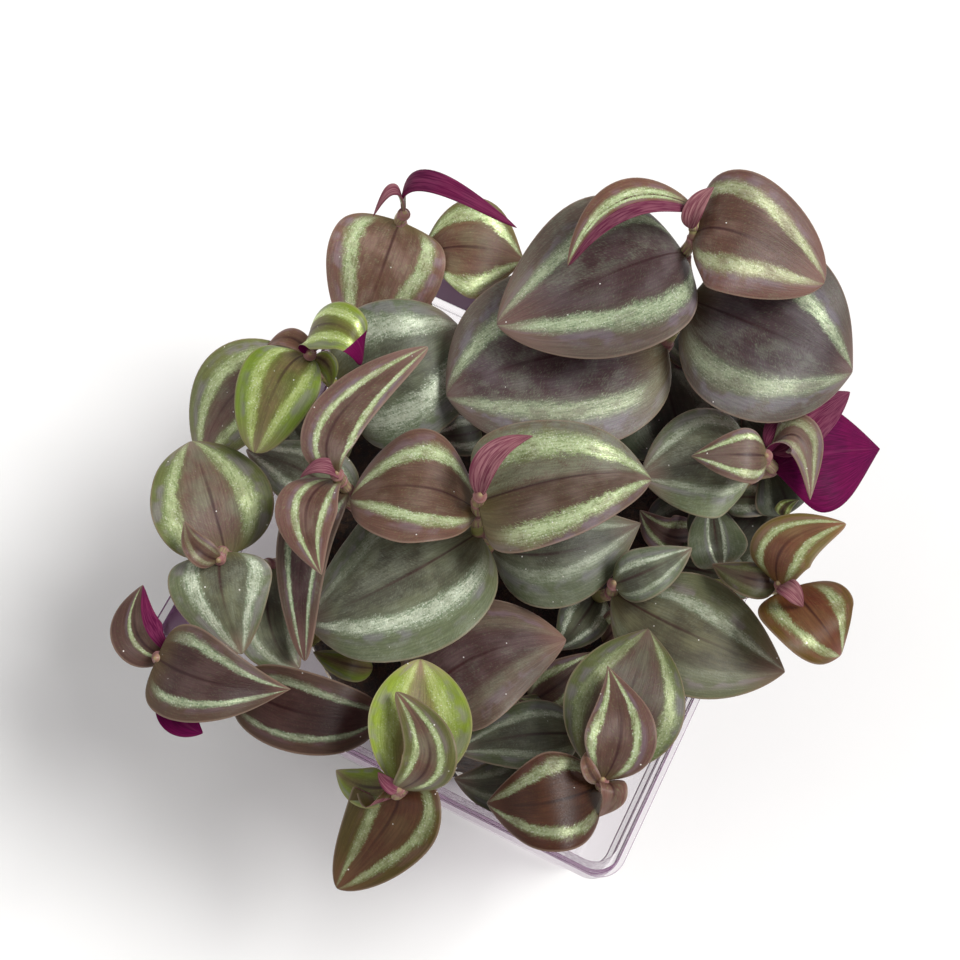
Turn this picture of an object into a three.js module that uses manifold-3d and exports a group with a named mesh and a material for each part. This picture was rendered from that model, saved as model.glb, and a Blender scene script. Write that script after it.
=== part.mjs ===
// A potted tradescantia: a clear square pot, the round root ball standing in it, and twelve
// leafy shoots that rise from the peat and spill over the rim.
//
// The frame: the origin is the middle of the pot's underside, on the surface it stands on.
// X and Y run along the pot's sides, Z is up. All lengths are millimetres.

import * as THREE from 'three';
import { mergeVertices } from 'three/addons/utils/BufferGeometryUtils.js';
import Module from 'manifold-3d';

const wasm = await Module();
wasm.setup();

// Driving dimensions.
const SEAT_GAP = 0.3;
const POT = {
  height: 70,
  baseHalf: 41.5,
  rimHalf: 49,
  wall: 1,
  floor: 1.6,
  footEdge: 1.75,
  collarHeight: 18,
  collarStep: 1.1,
  lipReach: 1.2,
  lipHeight: 1.5,
  edgeRound: 0.3,
  cornerRadius: 5,
  cornerNarrowing: 0.25,
  cornerSteps: 4,
  drainRadius: 3,
  drainSides: 16,
  drainReach: 24,
};
const ROOT_BALL = { top: 60, crown: 1, topRadius: 40, bottomRadius: 36, shoulder: 2, sides: 32 };
const STEM = { radius: 1.7, sides: 6, stepsPerLeaf: 2, tip: 2 };
const LEAF = {
  thickness: 0.7,
  across: 4,
  along: 7,
  widest: 0.37,
  point: 0.85,
  crease: 0.4,
  fold: 8,
  cup: -0.12,
};

// The leaves' places are read from a view that looks down on the pot. A place is a pixel of
// that view and the height, in millimetres, at which the line of sight through it is cut.
const VIEW = {
  azimuth: THREE.MathUtils.degToRad(26.6),
  elevation: THREE.MathUtils.degToRad(70.5),
  distance: 330,
  focalPixels: 1723,
  middle: 480,
  rimCentre: [490, 536],
};
const viewRight = new THREE.Vector3(Math.cos(VIEW.azimuth), Math.sin(VIEW.azimuth), 0);
const viewBack = new THREE.Vector3(
  Math.sin(VIEW.azimuth) * Math.cos(VIEW.elevation),
  -Math.cos(VIEW.azimuth) * Math.cos(VIEW.elevation),
  Math.sin(VIEW.elevation),
);
const viewUp = new THREE.Vector3().crossVectors(viewBack, viewRight);
const millimetresPerPixel = VIEW.distance / VIEW.focalPixels;
const eye = new THREE.Vector3(0, 0, POT.height)
  .addScaledVector(viewBack, VIEW.distance)
  .addScaledVector(viewRight, (VIEW.middle - VIEW.rimCentre[0]) * millimetresPerPixel)
  .addScaledVector(viewUp, (VIEW.rimCentre[1] - VIEW.middle) * millimetresPerPixel);

function place([column, row, height]) {
  const ray = new THREE.Vector3()
    .addScaledVector(viewBack, -VIEW.focalPixels)
    .addScaledVector(viewRight, column - VIEW.middle)
    .addScaledVector(viewUp, VIEW.middle - row);
  return eye.clone().addScaledVector(ray, (height - eye.z) / ray.z);
}

// The shoots, each from its root to its tip. A leaf has its node on the stem, one or more
// places along its midrib, its tip, and its width in millimetres. widest is where along the
// midrib the blade is widest, point how sharp its tip is (1 is an arrow's, 0.5 a spoon's),
// fold the rise of both halves from the midrib in degrees, cup the rise of the margins as a
// part of the half width, and roll the tilt about the midrib in degrees.
const SHOOTS = [
  {
    root: [602, 448, 50],
    bend: [652, 375, 74],
    leaves: [
      { node: [666, 342, 88], mid: [[534, 361, 92]], tip: [447, 396, 86], width: 38, widest: 0.36,
        point: 0.66, roll: 1, tone: 'plum' },
      { node: [690, 300, 94], mid: [[783, 338, 97]], tip: [852, 372, 91], width: 36, widest: 0.4,
        point: 0.79, roll: -7, fold: 10, tone: 'plum' },
      { node: [684, 256, 100], mid: [[632, 266, 105]], tip: [497, 325, 98], width: 33.4,
        widest: 0.57, point: 0.7, roll: -4, tone: 'plum' },
      { node: [694, 238, 105], mid: [[737, 233, 110]], tip: [824, 283, 104], width: 23.6,
        widest: 0.49, point: 0.57, roll: -10, fold: 11, tone: 'brown' },
      { node: [692, 207, 109], mid: [[620, 202, 114]], tip: [568, 266, 107], width: 8, widest: 0.4,
        point: 0.7, fold: 14, tone: 'brown' },
    ],
  },
  {
    root: [458, 412, 50],
    bend: [425, 300, 74],
    leaves: [
      { node: [418, 257, 86], mid: [[469, 247, 89]], tip: [524, 261, 85], width: 20.5, widest: 0.55,
        point: 1, roll: -9, tone: 'olive' },
      { node: [400, 222, 91], mid: [[384, 265, 87]], tip: [359, 337, 74], width: 23.5, widest: 0.45,
        point: 0.42, roll: 6, tone: 'brown' },
      { node: [404, 214, 95], mid: [[418, 180, 102], [466, 196, 104]], tip: [517, 228, 96],
        width: 4.6, tone: 'magenta' },
    ],
  },
  {
    root: [402, 448, 50],
    bend: [360, 405, 70],
    leaves: [
      { node: [342, 392, 79], mid: [[407, 366, 85]], tip: [462, 331, 81], width: 28.5, point: 0.4,
        roll: -15, tone: 'shade' },
      { node: [310, 362, 86], mid: [[235, 395, 86]], tip: [202, 471, 73], width: 18.7, widest: 0.47,
        point: 0.83, roll: 2, tone: 'olive' },
      { node: [310, 357, 91], mid: [[281, 378, 95]], tip: [255, 453, 90], width: 15.5, widest: 0.54,
        point: 0.54, roll: -1, tone: 'lime' },
      { node: [310, 354, 95], mid: [[318, 327, 99], [346, 330, 103]], tip: [361, 364, 97],
        width: 10, widest: 0.45, point: 0.6, tone: 'lime' },
    ],
  },
  {
    root: [335, 545, 50],
    bend: [285, 562, 70],
    leaves: [
      { node: [268, 566, 75], mid: [[272, 632, 76]], tip: [300, 668, 71], width: 14,
        tone: 'shade' },
      { node: [226, 556, 83], mid: [[208, 488, 87]], tip: [191, 442, 82], width: 22.6, point: 0.64,
        roll: -9, tone: 'olive' },
      { node: [222, 553, 87], mid: [[222, 592, 88]], tip: [242, 654, 80], width: 18.8, widest: 0.36,
        point: 0.72, tone: 'shade' },
      { node: [219, 559, 90], mid: [[197, 548, 93]], tip: [185, 521, 91], width: 5.5, fold: 20,
        tone: 'brown' },
    ],
  },
  {
    root: [345, 610, 50],
    bend: [290, 655, 70],
    leaves: [
      { node: [238, 688, 76], mid: [[318, 716, 79]], tip: [382, 713, 74], width: 14.9, widest: 0.35,
        point: 0.5, roll: -9, tone: 'plum' },
      { node: [172, 657, 85], mid: [[137, 633, 88]], tip: [143, 585, 86], width: 9.8, widest: 0.46,
        fold: 16, tone: 'brown' },
      { node: [158, 658, 89], mid: [[216, 683, 91]], tip: [291, 689, 86], width: 17.4, widest: 0.23,
        point: 1, roll: -15, fold: 15, tone: 'plum' },
    ],
  },
  {
    root: [395, 530, 50],
    bend: [362, 512, 74],
    leaves: [
      { node: [352, 502, 82], mid: [[300, 470, 79]], tip: [246, 450, 74], width: 14,
        tone: 'shade' },
      { node: [347, 490, 88], mid: [[306, 538, 88]], tip: [305, 661, 78], width: 10.9, widest: 0.41,
        point: 0.59, fold: 20, tone: 'plum' },
      { node: [340, 480, 93], mid: [[307, 510, 96]], tip: [322, 575, 91], width: 12, widest: 0.46,
        point: 0.9, roll: -10, fold: 15, tone: 'brown' },
      { node: [337, 474, 97], mid: [[339, 417, 100]], tip: [428, 347, 95], width: 10.7,
        widest: 0.46, point: 0.63, roll: -2, fold: 15, tone: 'brown' },
    ],
  },
  {
    root: [490, 575, 50],
    bend: [486, 555, 70],
    leaves: [
      { node: [490, 546, 76], mid: [[558, 553, 80]], tip: [641, 523, 76], width: 20.5, widest: 0.46,
        point: 1, roll: -15, tone: 'shade' },
      { node: [478, 533, 83], mid: [[392, 584, 86]], tip: [306, 622, 74], width: 31, widest: 0.4,
        point: 0.8, roll: -8, tone: 'shade' },
      { node: [477, 512, 91], mid: [[417, 487, 97]], tip: [351, 499, 91], width: 24, widest: 0.51,
        point: 0.6, roll: -12, fold: 12, tone: 'brown' },
      { node: [478, 502, 96], mid: [[585, 475, 101]], tip: [651, 480, 95], width: 24.5, widest: 0.2,
        point: 0.8, fold: 13, tone: 'brown' },
      { node: [480, 496, 100], mid: [[492, 456, 104]], tip: [533, 436, 101], width: 5.5, fold: 30,
        tone: 'magenta' },
    ],
  },
  {
    root: [634, 504, 50],
    bend: [690, 502, 64],
    leaves: [
      { node: [712, 500, 70], mid: [[716, 540, 75]], tip: [722, 566, 73], width: 12, widest: 0.6,
        point: 0.6, fold: 20, tone: 'shade' },
      { node: [724, 498, 73], mid: [[755, 498, 77]], tip: [788, 502, 75], width: 8, tone: 'shade' },
      { node: [752, 476, 81], mid: [[713, 462, 86]], tip: [641, 477, 82], width: 21.8, widest: 0.55,
        point: 0.71, roll: 3, tone: 'shade' },
      { node: [772, 469, 84], mid: [[815, 455, 85]], tip: [880, 449, 79], width: 22, widest: 0.5,
        point: 1.03, roll: -12, tone: 'magenta' },
      { node: [764, 459, 88], mid: [[799, 438, 91]], tip: [810, 500, 87], width: 9.5, fold: 25,
        tone: 'brown' },
      { node: [766, 456, 92], mid: [[736, 455, 95]], tip: [691, 456, 91], width: 10.4, widest: 0.34,
        point: 0.93, roll: 5, tone: 'brown' },
    ],
  },
  {
    root: [640, 570, 50],
    bend: [715, 585, 70],
    leaves: [
      { node: [790, 589, 84], mid: [[823, 627, 88]], tip: [840, 655, 83], width: 18.4, widest: 0.26,
        point: 0.72, roll: 15, tone: 'olive' },
      { node: [780, 584, 88], mid: [[788, 543, 92]], tip: [846, 524, 90], width: 12.2, point: 0.7,
        roll: 12, tone: 'olive' },
    ],
  },
  {
    root: [560, 650, 50],
    bend: [578, 715, 68],
    leaves: [
      { node: [580, 735, 72], mid: [[520, 736, 74]], tip: [455, 752, 70], width: 13,
        tone: 'shade' },
      { node: [592, 768, 79], mid: [[630, 692, 85]], tip: [648, 629, 81], width: 21.9, widest: 0.41,
        point: 0.89, roll: -6, tone: 'olive' },
      { node: [600, 785, 83], mid: [[546, 803, 88]], tip: [487, 803, 82], width: 17.3, widest: 0.4,
        point: 0.83, roll: 5, tone: 'brown' },
      { node: [602, 780, 87], mid: [[621, 729, 92]], tip: [607, 665, 89], width: 12.9, widest: 0.41,
        point: 1.19, roll: -3, fold: 15, tone: 'brown' },
    ],
  },
  {
    root: [430, 670, 50],
    bend: [425, 690, 66],
    leaves: [
      { node: [419, 703, 71], mid: [[481, 655, 76]], tip: [566, 640, 73], width: 25.4, widest: 0.34,
        point: 0.74, roll: 5, tone: 'plum' },
      { node: [396, 793, 81], mid: [[389, 822, 79]], tip: [337, 888, 69], width: 17.5, widest: 0.42,
        point: 0.58, tone: 'olive' },
      { node: [401, 789, 84], mid: [[416, 724, 86]], tip: [420, 659, 86], width: 18.6, widest: 0.49,
        point: 0.77, roll: -15, cup: 0.3, tone: 'lime' },
      { node: [398, 788, 88], mid: [[430, 753, 94]], tip: [396, 692, 92], width: 9.8, widest: 0.4,
        point: 0.63, fold: 15, tone: 'olive' },
    ],
  },
  {
    root: [590, 600, 50],
    bend: [598, 597, 64],
    leaves: [
      { node: [612, 592, 74], mid: [[688, 633, 80]], tip: [785, 672, 76], width: 23.3, widest: 0.5,
        point: 0.87, roll: -1, fold: 10, tone: 'shade' },
      { node: [614, 584, 79], mid: [[650, 570, 83]], tip: [692, 548, 80], width: 10,
        tone: 'shade' },
    ],
  },
];

const TONES = {
  plum: 0x54464a,
  brown: 0x77605a,
  olive: 0x74765a,
  lime: 0x96a845,
  shade: 0x66746a,
  magenta: 0x6e1a45,
};
const CLEAR = { color: 0xdcd2dc, roughness: 0.12, opacity: 0.35 };
const PEAT = { color: 0x2e221b, roughness: 0.95 };
const GREENWOOD = { color: 0x9b9358, roughness: 0.45 };
const LEAF_ROUGHNESS = 0.35;

// Solids are joined and cut here; everything else is built as indexed triangles.
function toSolid(geometry) {
  const bare = geometry.clone();
  bare.deleteAttribute('normal');
  bare.deleteAttribute('uv');
  const merged = mergeVertices(bare);
  const mesh = new wasm.Mesh({
    numProp: 3,
    vertProperties: new Float32Array(merged.attributes.position.array),
    triVerts: new Uint32Array(merged.index.array),
  });
  return new wasm.Manifold(mesh);
}

function toGeometry(solid) {
  const mesh = solid.getMesh();
  const geometry = new THREE.BufferGeometry();
  geometry.setAttribute('position', new THREE.BufferAttribute(new Float32Array(mesh.vertProperties), 3));
  geometry.setIndex([...mesh.triVerts]);
  geometry.computeVertexNormals();
  return geometry;
}

function largestPiece(solid) {
  return solid.decompose().reduce((best, piece) => (piece.volume() > best.volume() ? piece : best));
}

function meshFromPoints(points, triangles) {
  const geometry = new THREE.BufferGeometry().setFromPoints(points);
  geometry.setIndex(triangles.flat());
  geometry.computeVertexNormals();
  return geometry;
}

// One level outline of the pot: a square with rounded corners.
function squareRing(half, radius, height) {
  const ring = [];
  const middle = half - radius;
  for (let corner = 0; corner < 4; corner += 1) {
    const start = (corner * Math.PI) / 2;
    const sx = Math.sign(Math.cos(start + Math.PI / 4));
    const sy = Math.sign(Math.sin(start + Math.PI / 4));
    for (let step = 0; step <= POT.cornerSteps; step += 1) {
      const angle = start + (step / POT.cornerSteps) * (Math.PI / 2);
      const x = sx * middle + radius * Math.cos(angle);
      const y = sy * middle + radius * Math.sin(angle);
      ring.push(new THREE.Vector3(x, y, height));
    }
  }
  return ring;
}

// A skin over level rings, closed by a fan at its first and its last ring.
function skinRings(rings) {
  const count = rings[0].length;
  const first = rings.length * count;
  const points = rings.flat();
  points.push(new THREE.Vector3(0, 0, rings[0][0].z));
  points.push(new THREE.Vector3(0, 0, rings[rings.length - 1][0].z));
  const triangles = [];
  for (let i = 0; i < count; i += 1) {
    const next = (i + 1) % count;
    for (let level = 0; level + 1 < rings.length; level += 1) {
      const low = level * count;
      const high = low + count;
      triangles.push([low + i, low + next, high + next], [low + i, high + next, high + i]);
    }
    const last = (rings.length - 1) * count;
    triangles.push([first, next, i], [first + 1, last + i, last + next]);
  }
  return meshFromPoints(points, triangles);
}

// The pot: thin tapered walls, a stepped collar under the lip, a flat floor with drain holes.
function makePot() {
  const collarHalf = POT.rimHalf - POT.lipReach;
  const collarBottom = POT.height - POT.collarHeight;
  const collarTop = collarBottom + POT.collarStep;
  const wallTop = collarHalf - POT.collarStep;
  const outer = [
    [POT.baseHalf - POT.footEdge, 0],
    [POT.baseHalf, POT.footEdge],
    [wallTop, collarBottom],
    [collarHalf, collarTop],
    [collarHalf, POT.height - POT.lipHeight - POT.edgeRound],
    [POT.rimHalf, POT.height - POT.lipHeight],
    [POT.rimHalf, POT.height - POT.edgeRound],
    [POT.rimHalf - POT.edgeRound, POT.height],
  ];
  const inner = [
    [collarHalf - POT.wall, POT.height],
    [collarHalf - POT.wall, collarTop + POT.wall],
    [wallTop - POT.wall, collarBottom + POT.wall],
    [POT.baseHalf - POT.wall, POT.floor + POT.footEdge],
    [POT.baseHalf - POT.wall - POT.footEdge, POT.floor],
  ];
  const radius = (half) => POT.cornerRadius - (POT.rimHalf - half) * POT.cornerNarrowing;
  const rings = [...outer, ...inner].map(([half, height]) => squareRing(half, radius(half), height));
  let pot = toSolid(skinRings(rings));
  for (const [x, y] of [[1, 0], [0, 1], [-1, 0], [0, -1]]) {
    const drill = new THREE.CylinderGeometry(POT.drainRadius, POT.drainRadius, 4 * POT.floor, POT.drainSides);
    drill.rotateX(Math.PI / 2);
    drill.translate(x * POT.drainReach, y * POT.drainReach, POT.floor);
    pot = pot.subtract(toSolid(drill));
  }
  return toGeometry(pot);
}

// The root ball: a tapered plug of peat, with a pocket for each planted stem.
function makeRootBall(sleeves) {
  const bottom = POT.floor + SEAT_GAP;
  const profile = [
    [0, bottom],
    [ROOT_BALL.bottomRadius - ROOT_BALL.shoulder, bottom],
    [ROOT_BALL.bottomRadius, bottom + ROOT_BALL.shoulder],
    [ROOT_BALL.topRadius, ROOT_BALL.top - ROOT_BALL.shoulder],
    [ROOT_BALL.topRadius - ROOT_BALL.shoulder, ROOT_BALL.top],
    [0, ROOT_BALL.top + ROOT_BALL.crown],
  ].map(([radius, height]) => new THREE.Vector2(radius, height));
  const lathe = new THREE.LatheGeometry(profile, ROOT_BALL.sides);
  lathe.rotateX(Math.PI / 2);
  return toGeometry(sleeves.reduce((ball, sleeve) => ball.subtract(sleeve), toSolid(lathe)));
}

// A stem runs through its root, its bend and its leaves' nodes, and a little past the last.
function stemCurve(shoot, extra) {
  const points = [shoot.root, shoot.bend, ...shoot.leaves.map((leaf) => leaf.node)].map(place);
  const last = points[points.length - 1];
  const before = points[points.length - 2];
  const rise = last.clone().sub(before).normalize();
  points.push(last.clone().addScaledVector(rise, STEM.tip + extra));
  const foot = points[1].clone().sub(points[0]).normalize();
  points[0].addScaledVector(foot, -extra);
  return new THREE.CatmullRomCurve3(points, false, 'centripetal');
}

function tube(curve, radius) {
  const outline = new THREE.Shape();
  for (let side = 0; side <= STEM.sides; side += 1) {
    const angle = (side / STEM.sides) * 2 * Math.PI;
    const corner = [radius * Math.cos(angle), radius * Math.sin(angle)];
    if (side === 0) {
      outline.moveTo(...corner);
    } else {
      outline.lineTo(...corner);
    }
  }
  const steps = STEM.stepsPerLeaf * (curve.points.length - 1);
  return new THREE.ExtrudeGeometry(outline, { steps, extrudePath: curve, bevelEnabled: false });
}

// The curve of lowest degree through evenly paced points: a parabola through three.
class Midrib extends THREE.Curve {
  constructor(points) {
    super();
    this.points = points;
  }

  getPoint(s, target = new THREE.Vector3()) {
    const last = this.points.length - 1;
    target.set(0, 0, 0);
    this.points.forEach((point, i) => {
      let weight = 1;
      for (let j = 0; j <= last; j += 1) {
        weight *= j === i ? 1 : (s * last - j) / (i - j);
      }
      target.addScaledVector(point, weight);
    });
    return target;
  }
}

// The half width at a part s of the midrib: round at the node, pointed at the tip.
function halfWidth(leaf, s) {
  const widest = leaf.widest ?? LEAF.widest;
  const point = leaf.point ?? LEAF.point;
  const rise = (point * widest) / (1 - widest);
  const profile = (u) => u ** rise * (1 - u) ** point;
  return (0.5 * leaf.width * profile(s)) / profile(widest);
}

// A leaf's blade: a thin lens whose cross-section is a soft crease at the midrib with cupped
// halves, carried along the midrib.
function makeLeaf(leaf) {
  const fold = THREE.MathUtils.degToRad(leaf.fold ?? LEAF.fold);
  const cup = leaf.cup ?? LEAF.cup;
  const midrib = new Midrib([leaf.node, ...leaf.mid, leaf.tip].map(place));
  const chord = midrib.getPoint(1).sub(midrib.getPoint(0));
  const level = chord.cross(new THREE.Vector3(0, 0, 1)).normalize();
  const turn = THREE.MathUtils.degToRad(leaf.roll ?? 0);

  const frameAt = (s) => {
    const along = midrib.getTangent(s);
    const side = level.clone().addScaledVector(along, -level.dot(along)).normalize();
    side.applyAxisAngle(along, -turn);
    return { origin: midrib.getPoint(s), side, normal: new THREE.Vector3().crossVectors(side, along) };
  };
  const surface = (s, t, thickness) => {
    const { origin, side, normal } = frameAt(s);
    const half = halfWidth(leaf, s);
    const across = t * half;
    const crease = Math.hypot(across * Math.sin(fold), LEAF.crease) - LEAF.crease;
    const lift = crease + cup * half * t * t + thickness * Math.sqrt(1 - t ** 4);
    return origin.addScaledVector(side, across * Math.cos(fold)).addScaledVector(normal, lift);
  };

  const points = [midrib.getPoint(0), midrib.getPoint(1)];
  const rows = [];
  for (let i = 1; i < LEAF.along; i += 1) {
    const s = (1 - Math.cos((i / LEAF.along) * Math.PI)) / 2;
    const row = { upper: [], lower: [] };
    for (let j = 0; j <= LEAF.across; j += 1) {
      const t = -1 + (2 * j) / LEAF.across;
      const edge = j === 0 || j === LEAF.across;
      row.upper.push(points.push(surface(s, t, edge ? 0 : LEAF.thickness / 2)) - 1);
      row.lower.push(edge ? row.upper[j] : points.push(surface(s, t, -LEAF.thickness / 2)) - 1);
    }
    rows.push(row);
  }
  const triangles = [];
  for (let j = 0; j < LEAF.across; j += 1) {
    const first = rows[0];
    const last = rows[rows.length - 1];
    triangles.push([0, first.upper[j + 1], first.upper[j]], [0, first.lower[j], first.lower[j + 1]]);
    triangles.push([1, last.upper[j], last.upper[j + 1]], [1, last.lower[j + 1], last.lower[j]]);
    for (let i = 0; i + 1 < rows.length; i += 1) {
      const a = rows[i];
      const b = rows[i + 1];
      triangles.push([a.upper[j], a.upper[j + 1], b.upper[j + 1]], [a.upper[j], b.upper[j + 1], b.upper[j]]);
      triangles.push([a.lower[j], b.lower[j + 1], a.lower[j + 1]], [a.lower[j], b.lower[j], b.lower[j + 1]]);
    }
  }
  return meshFromPoints(points, triangles);
}

// The named pieces.
const LETTERS = 'abcdef';
const plant = new THREE.Group();

function addPiece(name, geometry, finish) {
  const material = new THREE.MeshStandardMaterial({ metalness: 0, ...finish });
  material.transparent = material.opacity < 1;
  const piece = new THREE.Mesh(geometry, material);
  piece.name = name;
  plant.add(piece);
}

const sleeves = SHOOTS.map((shoot) => toSolid(tube(stemCurve(shoot, SEAT_GAP), STEM.radius + SEAT_GAP)));
addPiece('pot', makePot(), CLEAR);
addPiece('root_ball', makeRootBall(sleeves), PEAT);
SHOOTS.forEach((shoot, index) => {
  const number = String(index + 1).padStart(2, '0');
  addPiece(`stem_${number}`, tube(stemCurve(shoot, 0), STEM.radius), GREENWOOD);
  shoot.leaves.forEach((leaf, order) => {
    const blade = sleeves.reduce((solid, sleeve) => solid.subtract(sleeve), toSolid(makeLeaf(leaf)));
    const finish = { color: TONES[leaf.tone], roughness: LEAF_ROUGHNESS };
    addPiece(`leaf_${number}_${LETTERS[order]}`, toGeometry(largestPiece(blade)), finish);
  });
});

export default plant;
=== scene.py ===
import math
import random
from dataclasses import dataclass
from functools import partial

import bpy
import numpy as np
from mathutils import Matrix, Vector, noise


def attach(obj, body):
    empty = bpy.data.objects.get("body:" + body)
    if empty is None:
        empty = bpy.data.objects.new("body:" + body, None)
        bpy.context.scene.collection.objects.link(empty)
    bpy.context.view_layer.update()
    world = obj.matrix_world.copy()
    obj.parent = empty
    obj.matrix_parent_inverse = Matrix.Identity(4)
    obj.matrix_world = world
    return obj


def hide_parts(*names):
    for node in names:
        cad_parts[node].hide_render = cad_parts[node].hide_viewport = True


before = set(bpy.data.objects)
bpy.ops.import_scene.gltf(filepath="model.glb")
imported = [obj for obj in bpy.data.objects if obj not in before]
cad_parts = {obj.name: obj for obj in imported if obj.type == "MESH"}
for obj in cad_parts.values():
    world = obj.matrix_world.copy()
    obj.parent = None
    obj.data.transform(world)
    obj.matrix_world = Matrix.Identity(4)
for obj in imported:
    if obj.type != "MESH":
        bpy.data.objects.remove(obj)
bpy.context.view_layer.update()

MM = 0.001
TURN = 2 * math.pi
UPWARD = np.array((0.0, 0.0, 1.0))
SEED = 7

# The pot, the root ball and the stems, as in the frame.
POT_HEIGHT = 70.0
BASE_HALF = 41.5
RIM_HALF = 49.0
WALL = 1.0
POT_FLOOR = 1.6
FOOT_EDGE = 1.75
COLLAR_HEIGHT = 18.0
COLLAR_STEP = 1.1
COLLAR_BOTTOM = POT_HEIGHT - COLLAR_HEIGHT
RIBS = (62.1, 64.4)
RIB_HALF = 0.2
RIB_DEPTH = 0.3
LIP_REACH = 1.2
LIP_HEIGHT = 1.5
CORNER_RADIUS = 5.0
CORNER_NARROWING = 0.25
CORNER_STEPS = 12
EDGE_CUT = 0.4
EDGE_STEPS = 5
SHARP_ANGLE = math.radians(40)
DRAIN_RADIUS = 3.0
DRAIN_REACH = 24.0
DRAIN_SIDES = 40
BALL_GAP = 0.3
BALL_BOTTOM = POT_FLOOR + BALL_GAP
BALL_TOP = 60.0
BALL_TOP_RADIUS = 40.0
BALL_BOTTOM_RADIUS = 36.0
STEM_RADIUS = 1.7
STEM_TIP = 1.2

# The leaves' places are read from a view that looks down on the pot. A place is a pixel of
# that view and the height at which the line of sight through it is cut.
AZIMUTH = math.radians(26.6)
ELEVATION = math.radians(70.5)
DISTANCE = 330.0
FOCAL_PIXELS = 1723.0
IMAGE_SIDE = 960.0
MIDDLE = IMAGE_SIDE / 2
RIM_CENTRE = (490.0, 536.0)
SENSOR_WIDTH = 36.0
CLIP_START = 0.01
RIGHT = np.array((math.cos(AZIMUTH), math.sin(AZIMUTH), 0.0))
BACK = np.array((
    math.sin(AZIMUTH) * math.cos(ELEVATION),
    -math.cos(AZIMUTH) * math.cos(ELEVATION),
    math.sin(ELEVATION),
))
UP = np.cross(BACK, RIGHT)
SHIFT = (MIDDLE - RIM_CENTRE[0]) * RIGHT + (RIM_CENTRE[1] - MIDDLE) * UP
EYE = POT_HEIGHT * UPWARD + DISTANCE * BACK + SHIFT * DISTANCE / FOCAL_PIXELS


def place(point):
    column, row, height = point
    ray = -FOCAL_PIXELS * BACK + (column - MIDDLE) * RIGHT + (MIDDLE - row) * UP
    return EYE + ray * (height - EYE[2]) / ray[2]


def put(name, data):
    """A new object of the scene that shows the data."""
    thing = bpy.data.objects.new(name, data)
    bpy.context.scene.collection.objects.link(thing)
    return thing


def add_camera():
    data = bpy.data.cameras.new("camera")
    data.sensor_width = SENSOR_WIDTH
    data.lens = SENSOR_WIDTH * FOCAL_PIXELS / IMAGE_SIDE
    data.clip_start = CLIP_START
    camera = put("camera", data)
    turn = Matrix((RIGHT, UP, BACK)).transposed().to_4x4()
    camera.matrix_world = Matrix.Translation(Vector(EYE * MM)) @ turn
    bpy.context.scene.camera = camera


add_camera()


# The colours of each tone of leaf: along the middle, its clouds, towards the margins, and
# the two that the stripes glitter between.
TONES = {
    "plum": ("483638", "5c4f52", "60544c", "6e8462", "c0cea8"),
    "brown": ("5c4439", "745f56", "6b5047", "7f9059", "c8d5a6"),
    "olive": ("664d45", "6e6656", "62663a", "7d8f58", "c2cf9c"),
    "lime": ("6b5c3c", "5a5a2a", "71832a", "8c9e4c", "c2d08a"),
    "shade": ("4a493c", "62654f", "596046", "708063", "cad2ba"),
}


@dataclass
class Leaf:
    """A blade: its tone, places along its midrib from its node to its tip, and how it looks.

    width is how wide the blade is, widest where along the midrib that is, point how sharp its
    tip is (1 is an arrow's, 0.5 a spoon's), fold the rise of both halves from the midrib in
    degrees, cup the rise of the margins as a part of the half width, and roll the tilt about
    the midrib. stripes holds the middle and the half width of the left and of the right
    stripe, as parts of the half blade, glow how strongly each of them shows and bloom how
    much silver lies on each half: partly the leaf's own silver and partly painted sheen, more
    on a half that catches the light. What is given once counts for both halves. value brightens
    what lies under the stripes, and the stripes by its square root: partly each leaf's own tone
    and partly painted shade and light, low for leaves that lie in shadow. warm turns what lies
    under them and the underside towards brown. bare is the stretch of the upper face, from
    and to along the midrib and then across it, that has the underside's colour: by default
    there is none. A leaf whose tone is magenta shows its underside.
    """

    tone: str
    places: list
    width: float
    widest: float = 0.37
    point: float = 0.85
    fold: float = 8.0
    cup: float = -0.12
    roll: float = 0.0
    stripes: tuple = (0.6, 0.17)
    glow: float | tuple = 1.0
    bloom: float | tuple = 0.15
    value: float = 1.0
    warm: float = 0.0
    bare: tuple = (1, 0, 0, 0)


plum, brown, olive, lime, shade, magenta = (partial(Leaf, tone) for tone in (*TONES, "magenta"))


def filler(places, width, value):
    """A leaf that fills a gap low between the shoots, darkened by value as painted shade."""
    return shade(places, width, glow=0.3, value=value)


@dataclass
class Shoot:
    """A stem from its root over its bend to its leaves' nodes, with buds and small leaves."""

    root: tuple
    bend: tuple
    leaves: list
    buds: tuple | list = ()


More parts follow.
